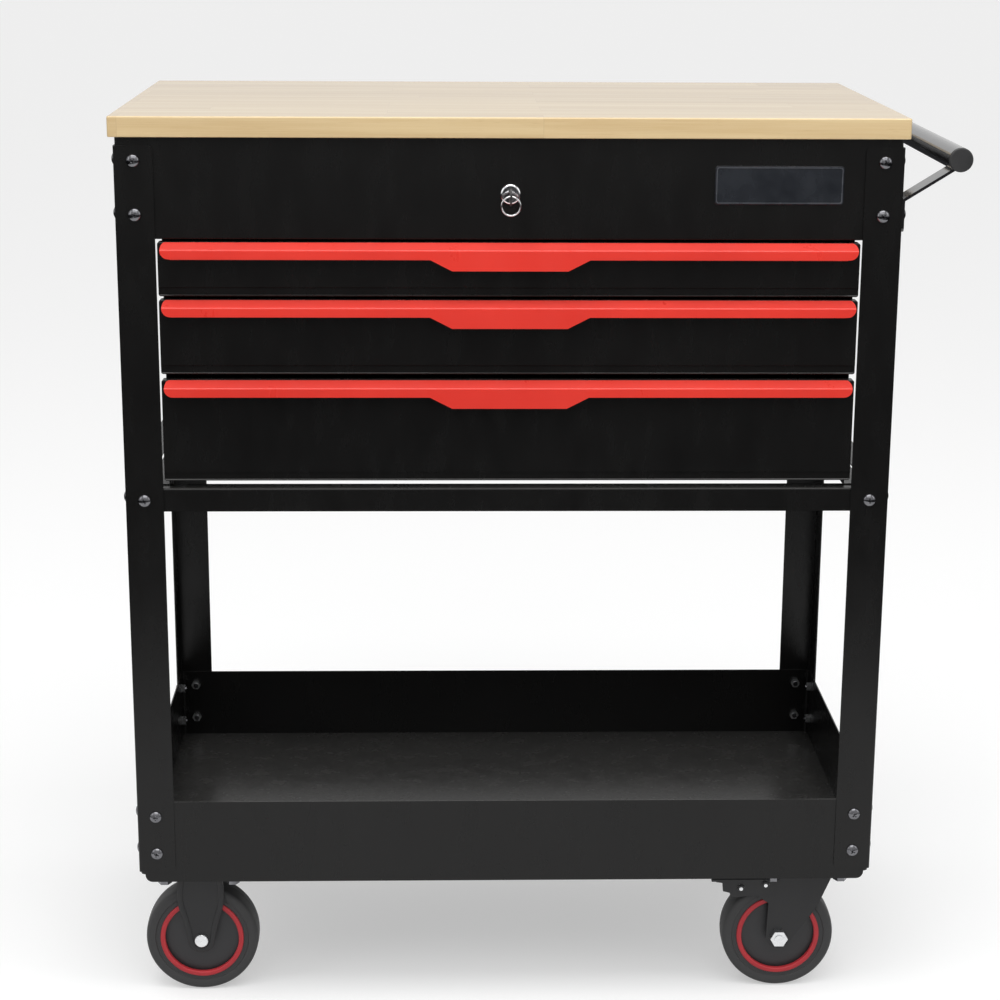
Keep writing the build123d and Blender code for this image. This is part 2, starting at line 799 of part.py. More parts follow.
def frame_fasteners():
    """Every frame screw and its nut."""
    screws = []
    nuts = []
    plain = screw(10.0)
    bracketed = screw(13.0)
    nut = hexagon_bar(nut_across_flats, nut_height)
    nut -= rod_z(0, 0, (-1, nut_height + 1), screw_shank_radius + 0.05)
    for x, y, z, direction in post_screw_places():
        on_bracket = direction == (1, 0, 0) and z == bracket_screw_height
        lift = bracket_thickness if on_bracket else 0.0
        behind = rail_sheet if z == screw_heights[2] else sheet
        dx, dy, _ = direction
        seat = Pos(x + dx * lift, y + dy * lift, z)
        screws.append(seat * turned(direction) * (bracketed if on_bracket else plain))
        depth = post_sheet + behind + nut_height
        nuts.append(Pos(x - dx * depth, y - dy * depth, z) * turned(direction) * nut)
    return screws, nuts


def bolt_heads_and_nuts():
    """Caster bolts from below with their nuts in the channels."""
    solids = []
    plate_bottom = channel_bottom - caster_plate_thickness
    head_height = 5.5
    nut_rise = 6.0
    nut_bottom = channel_bottom + channel_sheet
    for x, y in caster_bolt_places():
        head = Pos(x, y, plate_bottom - head_height) * hexagon_bar(caster_bolt_flats, head_height)
        shank = rod_z(x, y, (plate_bottom, nut_bottom + nut_rise + 0.8), caster_bolt_radius)
        nut = Pos(x, y, nut_bottom) * hexagon_bar(caster_bolt_flats, nut_rise)
        nut -= rod_z(x, y, (nut_bottom - 1, nut_bottom + nut_rise + 1), caster_bolt_radius + 0.05)
        solids += [head + shank, nut]
    return solids


def caster_plate(x):
    """A caster's top plate, front pair, with its four bolt holes."""
    half_x = caster_plate_length / 2
    half_y = caster_plate_width / 2
    top = channel_bottom
    plate = block(
        (x - half_x, x + half_x),
        (-wheel_centre_y - half_y, -wheel_centre_y + half_y),
        (top - caster_plate_thickness, top),
    )
    plate = fillet(plate.edges().filter_by(Axis.Z), 6.0)
    for dx in (-1, 1):
        for dy in (-1, 1):
            bolt_x = x + dx * caster_bolt_spacing_x / 2
            bolt_y = -wheel_centre_y + dy * caster_bolt_spacing_y / 2
            plate -= rod_z(bolt_x, bolt_y, (top - 10, top + 1), caster_hole_radius)
    return plate


def fork_leg(points, axle_x, end_radius):
    """One leg of a fork in front of the wheel: a plate with a round end about the axle."""
    outer = -wheel_centre_y - fork_inner_half_width - fork_sheet
    inner = -wheel_centre_y - fork_inner_half_width
    leg = plate_xz(points, (outer, inner)) + rod_y(axle_x, (outer, inner), wheel_radius, end_radius)
    return leg - rod_y(axle_x, (outer - 1, inner + 1), wheel_radius, axle_radius)


def other_leg(leg):
    """The same leg on the other side of the front wheels."""
    plane = Plane((0, -wheel_centre_y, 0), x_dir=(1, 0, 0), z_dir=(0, 1, 0))
    return mirror(leg, about=plane)


def make_rigid_fork():
    """Fixed caster, front: top plate, crown and two legs that bulge and taper to the axle."""
    x = rigid_caster_x
    crown_top = channel_bottom - caster_plate_thickness
    crown_bottom = crown_top - fork_sheet
    half_top = 24.0
    half_bulge = 26.5
    end_radius = 15.0
    right_side = [
        (end_radius, wheel_radius), (18.5, 80.0), (22.5, 95.0), (25.5, 106.0), (half_bulge, 114.0),
        (26.0, 124.0), (half_top, crown_top),
    ]
    points = [(x + dx, z) for dx, z in right_side] + [(x - dx, z) for dx, z in reversed(right_side)]
    leg = fork_leg(points, x, end_radius)
    reach = fork_inner_half_width + fork_sheet
    crown = block(
        (x - 33.0, x + 33.0), (-wheel_centre_y - reach, -wheel_centre_y + reach), (crown_bottom, crown_top)
    )
    return caster_plate(x) + crown + leg + other_leg(leg)


def make_swivel_plate():
    """Swivel caster, front: top plate, ball race and the kingpin that the fork turns on."""
    x = swivel_axis_x
    plate_bottom = channel_bottom - caster_plate_thickness
    race_bottom = plate_bottom - 6.0
    race = rod_z(x, -wheel_centre_y, (race_bottom, plate_bottom), raceway_radius)
    race = fillet(race.faces().sort_by(Axis.Z)[0].edges(), 2.0)
    pin = rod_z(x, -wheel_centre_y, (race_bottom - 5.2, race_bottom), kingpin_radius)
    pin_head = rod_z(x, -wheel_centre_y, (race_bottom - 8.2, race_bottom - 4.9), 10.0)
    return caster_plate(x) + race + pin + pin_head


def swivel_crown_range():
    top = channel_bottom - caster_plate_thickness - 6.0 - 0.4
    return (top - 4.0, top)


def make_swivel_fork():
    """Swivel fork, front: a crown under the race, two raked legs and the ears of the brake."""
    axle_x = swivel_axis_x - swivel_trail
    crown_low, crown_high = swivel_crown_range()
    end_radius = 14.0
    outline = [
        (axle_x - end_radius, wheel_radius), (axle_x - 12.5, 104.0), (284.0, 112.0), (280.0, 120.0),
        (284.0, crown_high), (366.0, crown_high), (353.0, 104.5), (343.5, 88.0),
        (axle_x + end_radius * 0.8, wheel_radius - end_radius * 0.6),
    ]
    leg = fork_leg(outline, axle_x, end_radius)
    leg -= rod_y(brake_pivot_x, (-250, 0), brake_pivot_z, brake_pivot_radius + 0.05)
    reach = fork_inner_half_width + fork_sheet
    crown = rod_z(swivel_axis_x, -wheel_centre_y, (crown_low, crown_high), 30.0)
    between_legs = (-wheel_centre_y - reach, -wheel_centre_y + reach)
    crown &= block((300.0, 370.0), between_legs, (crown_low, crown_high))
    crown += block(
        (308.0, 364.0), (-wheel_centre_y - reach, -wheel_centre_y + reach), (crown_low, crown_high)
    )
    crown -= rod_z(swivel_axis_x, -wheel_centre_y, (100, 150), kingpin_bore_radius)
    return crown + leg + other_leg(leg)


def make_brake_pedal():
    """Brake lever, front: two cheeks outside the fork, a foot plate, a shoe and the pivot pin."""
    inner = fork_inner_half_width + fork_sheet + 0.4
    outer = inner + 2.5
    centre = -wheel_centre_y
    outline = [
        (236.0, 134.0), (295.0, 134.0), (300.0, 131.0), (301.0, 118.0), (277.0, 114.5), (253.0, 112.0),
        (251.5, 118.0), (244.0, 120.0), (243.0, 130.0), (236.0, 131.0),
    ]
    cheek = plate_xz(outline, (centre - outer, centre - inner))
    cheeks = cheek + other_leg(cheek)
    foot = block((231.0, 277.0), (centre - outer, centre + outer), (131.5, 134.0))
    shoe = rod_y(brake_shoe_x, (centre - outer, centre + outer), brake_shoe_z, 4.0)
    pivot = rod_y(brake_pivot_x, (centre - outer, centre + outer), brake_pivot_z, brake_pivot_radius)
    rivet_heads = [
        rod_y(place_x, y_range, place_z, 4.2)
        for place_x, place_z in ((brake_shoe_x, brake_shoe_z), (brake_pivot_x, brake_pivot_z))
        for y_range in ((centre - outer - 2.2, centre - outer), (centre + outer, centre + outer + 2.2))
    ]
    return cheeks + foot + shoe + pivot + rivet_heads


def make_axle(axle_x, nut_in_front):
    """An axle bolt across a front fork, with a round head on one side and a nut on the other."""
    centre = -wheel_centre_y
    reach = fork_inner_half_width + fork_sheet
    head_side = centre - reach
    nut_side = centre + reach
    shank = rod_y(axle_x, (head_side - 3.0, nut_side + 9.0), wheel_radius, axle_radius)
    head = rod_y(axle_x, (head_side - 4.0, head_side), wheel_radius, 7.6)
    head = fillet(head.faces().sort_by(Axis.Y)[0].edges(), 1.8)
    nut = Pos(axle_x, nut_side + 7.5, wheel_radius) * Rot(90, 0, 0) * hexagon_bar(17.0, 7.5)
    bolt = shank + head + nut
    return other_leg(bolt) if nut_in_front else bolt


def make_hub(axle_x):
    """Wheel centre, front: a dished disc, a rim and a boss bored for the axle."""
    centre = -wheel_centre_y
    half = wheel_width / 2 - 1.5
    disc = rod_y(axle_x, (centre - half, centre + half), wheel_radius, rim_radius)
    for low, high in ((centre - half - 1, centre - half + 5), (centre + half - 5, centre + half + 1)):
        dish = rod_y(axle_x, (low, high), wheel_radius, rim_radius - 6.0)
        disc -= dish - rod_y(axle_x, (low, high), wheel_radius, hub_boss_radius)
    boss_range = (centre - hub_boss_half_width, centre + hub_boss_half_width)
    boss = rod_y(axle_x, boss_range, wheel_radius, hub_boss_radius)
    hub = disc + boss
    return hub - rod_y(axle_x, (centre - 30, centre + 30), wheel_radius, axle_bore_radius)


def make_tyre(axle_x):
    """Tyre, front: a solid ring with round shoulders."""
    centre = -wheel_centre_y
    half = wheel_width / 2
    tyre = rod_y(axle_x, (centre - half, centre + half), wheel_radius, wheel_radius)
    tyre = fillet(tyre.edges(), 7.5)
    return tyre - rod_y(axle_x, (centre - 30, centre + 30), wheel_radius, rim_radius)


def save(name, shapes):
    """Write one node, moved to the row's origin."""
    solids = shapes if isinstance(shapes, list) else [shapes]
    solids = [Pos(origin_x, origin_y, 0) * solid for solid in solids]
    whole = solids[0] if len(solids) == 1 else Compound(children=solids)
    whole.label = name
    export_step(whole, f"parts/{name}.step")


def main():
    os.makedirs("parts", exist_ok=True)
    bars = screw_holes()
    save("worktop", make_worktop())
    save("worktop_screws", make_worktop_screws())
    save("header_box", make_header(bars))
    for side_name, side in (("left", -1), ("right", 1)):
        save(f"post_front_{side_name}", make_post(side, -1, bars))
        save(f"post_rear_{side_name}", make_post(side, 1, bars))
    front_rail = make_front_rail(bars)
    save("front_rail", front_rail)
    save("rear_rail", mirrored_y(front_rail))
    save("side_rails", make_side_rails(bars))
    housing_side = make_housing_side()
    save("housing_side_left", housing_side)
    save("housing_side_right", mirrored_x(housing_side))
    save("housing_back", make_housing_back())
    save("lower_tray", make_tray(bars))
    save("base_channels", make_base_channels())
    save("slide_outer_rails", make_slide_outers())
    for drawer in range(3):
        number = drawer + 1
        save(f"drawer_{number}_body", make_drawer(drawer))
        save(f"drawer_{number}_pull", make_pull(drawer))
        save(f"drawer_{number}_slide_inner", make_slide_inners(drawer))
        save(f"drawer_{number}_slide_middle", make_slide_middles(drawer))
    save("nameplate", make_nameplate())
    save("lock_housing", make_lock_housing())
    save("lock_plug", make_lock_plug())
    save("lock_cam", make_lock_cam())
    save("lock_bar", make_lock_bar())
    save("key", make_key())
    save("key_ring", make_key_ring())
    save("handle_tube", make_handle_tube())
    save("handle_end_caps", make_handle_caps())
    save("handle_brackets", make_handle_brackets())
    screws, nuts = frame_fasteners()
    save("frame_screws", screws)
    save("frame_nuts", nuts)
    save("caster_bolts", bolt_heads_and_nuts())
    rigid_axle = make_axle(rigid_caster_x, False)
    save("rigid_axles", [rigid_axle, mirrored_y(rigid_axle)])
    swivel_axle_x = swivel_axis_x - swivel_trail
    single_pieces = {
        "rigid_fork": make_rigid_fork(),
        "rigid_hub": make_hub(rigid_caster_x),
        "rigid_tyre": make_tyre(rigid_caster_x),
        "swivel_plate": make_swivel_plate(),
        "swivel_fork": make_swivel_fork(),
        "swivel_axle": make_axle(swivel_axle_x, True),
        "swivel_hub": make_hub(swivel_axle_x),
        "swivel_tyre": make_tyre(swivel_axle_x),
        "brake_pedal": make_brake_pedal(),
    }
    for name, piece in single_pieces.items():
        save(f"{name}_front", piece)
        save(f"{name}_rear", mirrored_y(piece))


main()
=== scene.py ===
# %% [markdown]
# # A rolling tool chest, dressed for its picture
# The frame below is the finished engineering model: every sheet, drawer, slide and caster is already in
# its place, in metres. This lesson gives each piece the surface that the real one has, and makes again the
# small repeated or pressed pieces that deserve a finer mesh than the engineering model gives them.

import json
import math

import bpy
import numpy as np
from mathutils import Matrix, Vector


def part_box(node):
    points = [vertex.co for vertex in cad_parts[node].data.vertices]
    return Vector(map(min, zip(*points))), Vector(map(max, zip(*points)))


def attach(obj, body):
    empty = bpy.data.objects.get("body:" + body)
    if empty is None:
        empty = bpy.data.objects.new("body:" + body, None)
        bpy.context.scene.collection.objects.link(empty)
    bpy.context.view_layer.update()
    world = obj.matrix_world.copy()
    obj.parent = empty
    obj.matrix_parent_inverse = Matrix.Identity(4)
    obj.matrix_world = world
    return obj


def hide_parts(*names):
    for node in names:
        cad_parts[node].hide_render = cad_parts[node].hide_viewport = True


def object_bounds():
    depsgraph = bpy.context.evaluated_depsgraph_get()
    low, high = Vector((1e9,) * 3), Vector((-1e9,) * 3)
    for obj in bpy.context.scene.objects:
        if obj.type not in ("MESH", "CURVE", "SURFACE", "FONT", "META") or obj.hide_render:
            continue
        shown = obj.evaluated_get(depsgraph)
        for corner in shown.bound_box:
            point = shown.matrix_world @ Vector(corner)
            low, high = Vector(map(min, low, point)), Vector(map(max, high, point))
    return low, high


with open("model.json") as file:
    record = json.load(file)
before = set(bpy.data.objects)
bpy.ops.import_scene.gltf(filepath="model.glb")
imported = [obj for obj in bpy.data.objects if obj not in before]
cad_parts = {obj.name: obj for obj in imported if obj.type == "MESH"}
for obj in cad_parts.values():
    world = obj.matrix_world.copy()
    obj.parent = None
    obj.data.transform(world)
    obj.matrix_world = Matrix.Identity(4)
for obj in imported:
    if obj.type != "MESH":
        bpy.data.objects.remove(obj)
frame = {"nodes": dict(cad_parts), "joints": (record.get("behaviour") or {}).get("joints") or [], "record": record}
cad_nodes = frame["nodes"]
cad_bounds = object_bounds()

# %% [markdown]
# ## A short way to write shader nodes
# Every finish is a Principled shader with a few textures in front of it. `add` makes one node: plain values
# are typed into its sockets, and a socket from another node is linked. `new_finish` starts a material, and
# `surface` is the object's own coordinate in metres, so a pattern has one real size on every piece. Unwrapped
# images would need a layout for each of the sixty nodes; this way needs none.

# %% Shader helpers
finishes = {}


def add(tree, kind, inputs=None, **settings):
    node = tree.nodes.new(kind)
    for key, value in settings.items():
        setattr(node, key, value)
    for key, value in (inputs or {}).items():
        if isinstance(value, bpy.types.NodeSocket):
            tree.links.new(value, node.inputs[key])
        else:
            node.inputs[key].default_value = value
    return node


def new_finish(name, **values):
    material = bpy.data.materials.new(name)
    material.use_nodes = True
    tree = material.node_tree
    tree.nodes.clear()
    shader = add(tree, "ShaderNodeBsdfPrincipled")
    for key, value in values.items():
        shader.inputs[key.replace("_", " ")].default_value = value
    add(tree, "ShaderNodeOutputMaterial", {"Surface": shader.outputs["BSDF"]})
    finishes[name] = material
    surface = add(tree, "ShaderNodeTexCoord").outputs["Object"]
    return tree, shader, surface


def stretched(tree, vector, scale):
    return add(tree, "ShaderNodeMapping", {"Vector": vector, "Scale": scale}).outputs["Vector"]


def noise(tree, vector, scale, detail=3.0, roughness=0.5):
    settings = {"Vector": vector, "Scale": scale, "Detail": detail, "Roughness": roughness}
    return add(tree, "ShaderNodeTexNoise", settings).outputs["Fac"]


def between(tree, value, low, high, start=0.3, end=0.7):
    sockets = {"Value": value, "From Min": start, "From Max": end, "To Min": low, "To Max": high}
    return add(tree, "ShaderNodeMapRange", sockets).outputs["Result"]


def mixed(tree, factor, first, second, blend="MIX"):
    sockets = {0: factor, 6: first, 7: second}
    return add(tree, "ShaderNodeMix", sockets, data_type="RGBA", blend_type=blend).outputs[2]


def maths(tree, operation, *values):
    return add(tree, "ShaderNodeMath", dict(enumerate(values)), operation=operation).outputs[0]


def bumped(tree, shader, height, distance, strength=1.0, under=None):
    sockets = {"Height": height, "Distance": distance, "Strength": strength}
    if under:
        sockets["Normal"] = under
    bump = add(tree, "ShaderNodeBump", sockets).outputs["Normal"]
    tree.links.new(bump, shader.inputs["Normal"])
    return bump


# %% [markdown]
# ## Powder coat
# The frame, the drawers and the tray are folded steel with a half-gloss black powder coat, and the pulls have
# a red one. Such a coat is melted plastic powder, so it is never quite flat: it has a fine orange peel about
# a millimetre across, and its gloss wanders a little over a hand's width. Two noises at those sizes give
# both. A faint pale film, part dust and part painted light from above, lies on faces that look up, so the
# tray's floor and the pulls' sloping tops are lighter than upright faces: the surface normal's height says
# how much of this painted light each face gets.

# %% Powder coats
# A pale tone for faces that look up: part dust, part painted light from above.
dust_and_top_light_colour = (0.5, 0.49, 0.47, 1)


def powder_coat(name, colour, deep_colour, roughness, peel=0.00003, dust_and_top_light=0.0, **values):
    tree, shader, surface = new_finish(name, **values)
    broad = noise(tree, surface, 7.0, 4.0)
    specks = noise(tree, surface, 2600.0, 2.0)
    dust = noise(tree, stretched(tree, surface, (1.0, 1.0, 0.35)), 38.0, 6.0, 0.62)
    tone = mixed(tree, between(tree, broad, 0.0, 1.0), deep_colour, colour)
    tone = mixed(tree, between(tree, specks, 0.0, 0.35, 0.62, 0.8), tone, colour)
    # Painted light from above, mixed with dust: the more a face looks up, the paler it is made.
    normal = add(tree, "ShaderNodeNewGeometry").outputs["Normal"]
    upward = add(tree, "ShaderNodeSeparateXYZ", {0: normal}).outputs["Z"]
    top_light_mask = between(tree, upward, 0.0, dust_and_top_light, 0.6, 0.95)
    dust_and_top_light_amount = maths(tree, "MULTIPLY", top_light_mask, between(tree, dust, 0.75, 1.0))
    tone = mixed(tree, dust_and_top_light_amount, tone, dust_and_top_light_colour)
    tree.links.new(tone, shader.inputs["Base Color"])
    gloss = between(tree, dust, roughness - 0.035, roughness + 0.05)
    tree.links.new(gloss, shader.inputs["Roughness"])
    bumped(tree, shader, noise(tree, surface, 950.0, 2.0), peel)


powder_coat(
    "black_powder_coat", (0.0068, 0.0066, 0.0064, 1), (0.0050, 0.0048, 0.0047, 1), 0.25, dust_and_top_light=0.09,
    Specular_IOR_Level=0.28
)
powder_coat(
    "red_powder_coat", (0.84, 0.036, 0.020, 1), (0.74, 0.027, 0.015, 1), 0.3, dust_and_top_light=0.07,
    Specular_IOR_Level=0.4, Coat_Weight=0.3, Coat_Roughness=0.2
)
powder_coat(
    "caster_black", (0.018, 0.018, 0.019, 1), (0.012, 0.012, 0.013, 1), 0.4, 0.00005, Specular_IOR_Level=0.4
)
powder_coat(
    "handle_gloss_black", (0.016, 0.016, 0.017, 1), (0.011, 0.011, 0.012, 1), 0.14, 0.00001,
    Coat_Weight=0.8, Coat_Roughness=0.05
)
print("coats:", ", ".join(finishes))

# %% [markdown]
# ## The worktop's wood
# The board is glued up from long pale hardwood staves that are jointed end to end. A brick pattern is
# the same layout: its rows are the staves and its ends are the joints, and the random grey that it gives
# each brick both tints that stave and shifts its grain, so no figure runs across a glue line. The grain
# itself is noise drawn out along the board: wide for the growth rings, fine for the pores.

# %% Worktop wood
stave_width = 0.046
stave_length = 0.43
tree, shader, surface = new_finish(
    "worktop_wood", Specular_IOR_Level=0.5, Coat_Weight=1.0, Coat_Roughness=0.16
)
glue_line = 0.00022
staves = add(
    tree, "ShaderNodeTexBrick",
    {"Vector": surface, "Color1": (0, 0, 0, 1), "Color2": (1, 1, 1, 1), "Mortar": (0.5, 0.5, 0.5, 1),
     "Scale": 1.0, "Mortar Size": glue_line, "Mortar Smooth": 0.4, "Brick Width": stave_length,
     "Row Height": stave_width},
    offset=0.37, offset_frequency=2, squash=0.8, squash_frequency=3,
)
stave = staves.outputs["Color"]
grain_shift = (3.1, 0.9, 0.7)
shift = add(tree, "ShaderNodeVectorMath", {0: stave, 1: grain_shift}, operation="MULTIPLY")
own_place = add(
    tree, "ShaderNodeVectorMath", {0: surface, 1: shift.outputs["Vector"]}, operation="ADD"
).outputs["Vector"]
rings = noise(tree, stretched(tree, own_place, (1.1, 26.0, 26.0)), 2.2, 4.0, 0.55)
bands = add(
    tree, "ShaderNodeTexWave",
    {"Vector": stretched(tree, own_place, (0.35, 12.0, 12.0)), "Scale": 1.5, "Distortion": 5.5,
     "Detail": 3.0, "Detail Scale": 1.3, "Detail Roughness": 0.6},
    bands_direction="DIAGONAL",
).outputs["Fac"]
fibres = noise(tree, stretched(tree, own_place, (14.0, 900.0, 900.0)), 1.0, 3.0, 0.6)
pores = noise(tree, stretched(tree, own_place, (55.0, 1500.0, 1500.0)), 1.0, 1.0)
early_wood, late_wood, band_colour = (0.69, 0.53, 0.29, 1), (0.61, 0.44, 0.225, 1), (0.53, 0.36, 0.165, 1)
fibre_colour, pore_colour, glue_colour = (0.74, 0.60, 0.37, 1), (0.42, 0.25, 0.12, 1), (0.40, 0.26, 0.14, 1)
dark_stave, light_stave = (0.93, 0.90, 0.86, 1), (1.06, 1.05, 1.03, 1)
wood = mixed(tree, between(tree, rings, 0.0, 1.0, 0.32, 0.7), early_wood, late_wood)
wood = mixed(tree, between(tree, bands, 0.0, 0.42, 0.35, 0.95), wood, band_colour)
wood = mixed(tree, between(tree, fibres, 0.0, 0.3, 0.35, 0.7), wood, fibre_colour)
wood = mixed(tree, between(tree, pores, 0.0, 0.3, 0.66, 0.8), wood, pore_colour)
wood = mixed(tree, 1.0, wood, mixed(tree, stave, dark_stave, light_stave), "MULTIPLY")
wood = mixed(tree, between(tree, staves.outputs["Fac"], 0.0, 0.45, 0.0, 1.0), wood, glue_colour)
tree.links.new(wood, shader.inputs["Base Color"])
tree.links.new(between(tree, fibres, 0.36, 0.5), shader.inputs["Roughness"])
grain = bumped(tree, shader, fibres, 0.00004)
bumped(tree, shader, staves.outputs["Fac"], 0.0001, 0.5, grain)
print("wood: staves", stave_width, "by", stave_length, "m")

# %% [markdown]
# ## Bare and plated metal
# Zinc plating is bright but milky, and slides are drawn steel with faint lines along their length. Chrome
# is nearly a mirror and shows only hair scratches, and the screws are plated black. One flat grey with one
# roughness would look like foil, so cloudy noise varies both colour and gloss. All four are the same
# recipe: only the colour, the gloss and the way the fine grain is stretched differ.

# %% Metals
def plated(name, colour, dull_colour, roughness, grain, depth, **values):
    tree, shader, surface = new_finish(name, Metallic=1.0, **values)
    cloud = noise(tree, surface, 160.0, 4.0, 0.6)
    hair = noise(tree, stretched(tree, surface, grain), 1.0, 2.0, 0.6)
    tone = mixed(tree, between(tree, cloud, 0.0, 1.0), dull_colour, colour)
    tree.links.new(tone, shader.inputs["Base Color"])
    tree.links.new(between(tree, cloud, roughness - 0.05, roughness + 0.07), shader.inputs["Roughness"])
    bumped(tree, shader, hair, depth)


plated("zinc_hardware", (0.80, 0.81, 0.82, 1), (0.66, 0.67, 0.68, 1), 0.28, (900, 900, 900), 0.00002)
plated("slide_steel", (0.66, 0.67, 0.68, 1), (0.54, 0.55, 0.57, 1), 0.32, (1800, 25, 1800), 0.00002)
plated("chrome_trim", (0.88, 0.88, 0.89, 1), (0.82, 0.82, 0.84, 1), 0.10, (300, 3000, 3000), 0.000004)
plated("black_screw", (0.20, 0.20, 0.21, 1), (0.13, 0.13, 0.14, 1), 0.17, (1500, 1500, 1500), 0.000006)
print("metals:", list(finishes)[-4:])

# %% [markdown]
# ## Mouldings and rubber
# Moulded plastic keeps the spark-eroded texture of its tool: a fine even grain and little gloss. Tyres are
# the same with a coarser grain and a greyer, duller look. The grain is far too fine to model, so it is a
# bump from noise, whose scale is one over the size of a grain in metres.

# %% Plastic and rubber
def moulded(name, colour, worn_colour, roughness, grain_size, depth, **values):
    tree, shader, surface = new_finish(name, **values)
    broad = noise(tree, surface, 45.0, 5.0, 0.6)
    texture = noise(tree, surface, 1.0 / grain_size, 2.0, 0.55)
    tone = mixed(tree, between(tree, broad, 0.0, 1.0), colour, worn_colour)
    tree.links.new(tone, shader.inputs["Base Color"])
    tree.links.new(between(tree, broad, roughness - 0.05, roughness + 0.06), shader.inputs["Roughness"])
    bumped(tree, shader, texture, depth)


moulded("black_plastic", (0.022, 0.022, 0.023, 1), (0.030, 0.030, 0.031, 1), 0.42, 0.0006, 0.00006)
moulded("hub_plastic", (0.020, 0.020, 0.022, 1), (0.027, 0.027, 0.029, 1), 0.45, 0.0008, 0.00006)
moulded("tyre_rubber", (0.036, 0.036, 0.037, 1), (0.050, 0.050, 0.051, 1), 0.62, 0.0010, 0.00012)
moulded("wheel_ring_red", (0.52, 0.028, 0.040, 1), (0.62, 0.045, 0.055, 1), 0.38, 0.0007, 0.00004)
moulded("key_metal", (0.018, 0.018, 0.019, 1), (0.026, 0.026, 0.027, 1), 0.3, 0.0005, 0.00003)
moulded(
    "badge_plate", (0.013, 0.015, 0.019, 1), (0.018, 0.021, 0.027, 1), 0.2, 0.0040, 0.00001,
    Coat_Weight=0.4, Coat_Roughness=0.06
)
moulded("badge_border", (0.10, 0.105, 0.12, 1), (0.13, 0.135, 0.15, 1), 0.28, 0.0006, 0.00001, Metallic=0.6)
print("finishes so far:", len(finishes))

# %% [markdown]
# ## Finish the engineering model's own pieces
# The record says which finish each node takes, so one loop dresses them all and none is forgotten. The
# pieces that this lesson makes again are covered later.

# %% Assign the finishes
for part in frame["record"]["subparts"]:
    mesh = cad_nodes[part["node"]].data
    mesh.materials.clear()
    mesh.materials.append(finishes[part["material_slot"]])

# %% [markdown]
# ## Where the screws are
# The screws of one node are many loose solids. `islands` welds equal corners and follows the triangles from
# one to the next, so each screw comes out as its own box. A screw faces the way in which it stands out of
# the four posts.

# %% Find the screws
weld_decimals = 6


def islands(node):
    mesh = cad_nodes[node].data
    points = np.empty(len(mesh.vertices) * 3)
    mesh.vertices.foreach_get("co", points)
    points = points.reshape(-1, 3)
    _, corner = np.unique(np.round(points, weld_decimals), axis=0, return_inverse=True)
    corner = corner.reshape(-1)
    parent = list(range(corner.max() + 1))

    def root(index):
        while parent[index] != index:
            parent[index] = parent[parent[index]]
            index = parent[index]
        return index

    for edge in mesh.edges:
        first, second = (root(corner[i]) for i in edge.vertices)
        parent[first] = second
    groups = {}
    for index, point in zip(corner, points):
        groups.setdefault(root(index), []).append(point)
    return [(Vector(np.min(group, 0)), Vector(np.max(group, 0))) for group in groups.values()]


post_boxes = [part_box(f"post_{end}_{side}") for end in ("front", "rear") for side in ("left", "right")]
post_low = [min(low[axis] for low, _ in post_boxes) for axis in range(3)]
post_high = [max(high[axis] for _, high in post_boxes) for axis in range(3)]
screw_head_height = 0.0042
screw_seats = []
for low, high in islands("frame_screws"):
    middle = (low + high) / 2
    for axis in (0, 1):
        for side, reach in ((-1, post_low[axis] - low[axis]), (1, high[axis] - post_high[axis])):
            if reach > screw_head_height / 2:
                seat = middle.copy()
                seat[axis] = (low if side < 0 else high)[axis] - side * screw_head_height
                facing = Vector((0, 0, 0))
                facing[axis] = side
                screw_seats.append((seat, facing))
print("screws found:", len(screw_seats))

# %% [markdown]
# ## Geometry Nodes, written out
# Screws, bolt heads and rings repeat, so each is described once and set on points. `Recipe` writes a node
# tree: named sizes go in, and the last two nodes make the copies real and give them their finish.
# `grown` hangs a recipe on a mesh of points, fills in the sizes by each socket's own identifier, and
# keeps only the finished mesh.

# %% Geometry Nodes helpers
class Recipe:
    def __init__(self, name, **sizes):
        self.tree = bpy.data.node_groups.new(name, "GeometryNodeTree")
        sockets = self.tree.interface
        sockets.new_socket("Points", in_out="INPUT", socket_type="NodeSocketGeometry")
        self.names = {}
        for label, kind in list(sizes.items()) + [("Finish", "Material")]:
            socket = sockets.new_socket(label, in_out="INPUT", socket_type=f"NodeSocket{kind}")
            self.names[label] = socket.identifier
        sockets.new_socket("Geometry", in_out="OUTPUT", socket_type="NodeSocketGeometry")
        self.source = self.tree.nodes.new("NodeGroupInput")

    def add(self, kind, inputs=None, **settings):
        return add(self.tree, f"GeometryNode{kind}", inputs, **settings)

    def size(self, label):
        return self.source.outputs[label]

    def finish(self, geometry):
        real = self.add("RealizeInstances", {"Geometry": geometry})
        painted = self.add("SetMaterial", {"Geometry": real.outputs[0], "Material": self.size("Finish")})
        result = self.tree.nodes.new("NodeGroupOutput")
        self.tree.links.new(painted.outputs[0], result.inputs[0])
        print("recipe:", self.tree.name, "with", len(self.tree.nodes), "nodes")


def vector_in(tree, x=0.0, y=0.0, z=0.0):
    return add(tree, "ShaderNodeCombineXYZ", {"X": x, "Y": y, "Z": z}).outputs[0]


def smooth_by_angle(recipe, geometry, angle=0.6):
    smooth = recipe.add("SetShadeSmooth", {"Geometry": geometry}, domain="FACE")
    bend = recipe.add("InputMeshEdgeAngle").outputs["Unsigned Angle"]
    sharp = add(recipe.tree, "FunctionNodeCompare", {0: bend, 1: angle}, operation="GREATER_THAN")
    sockets = {"Geometry": smooth.outputs[0], "Selection": sharp.outputs["Result"], "Shade Smooth": False}
    return recipe.add("SetShadeSmooth", sockets, domain="EDGE").outputs[0]


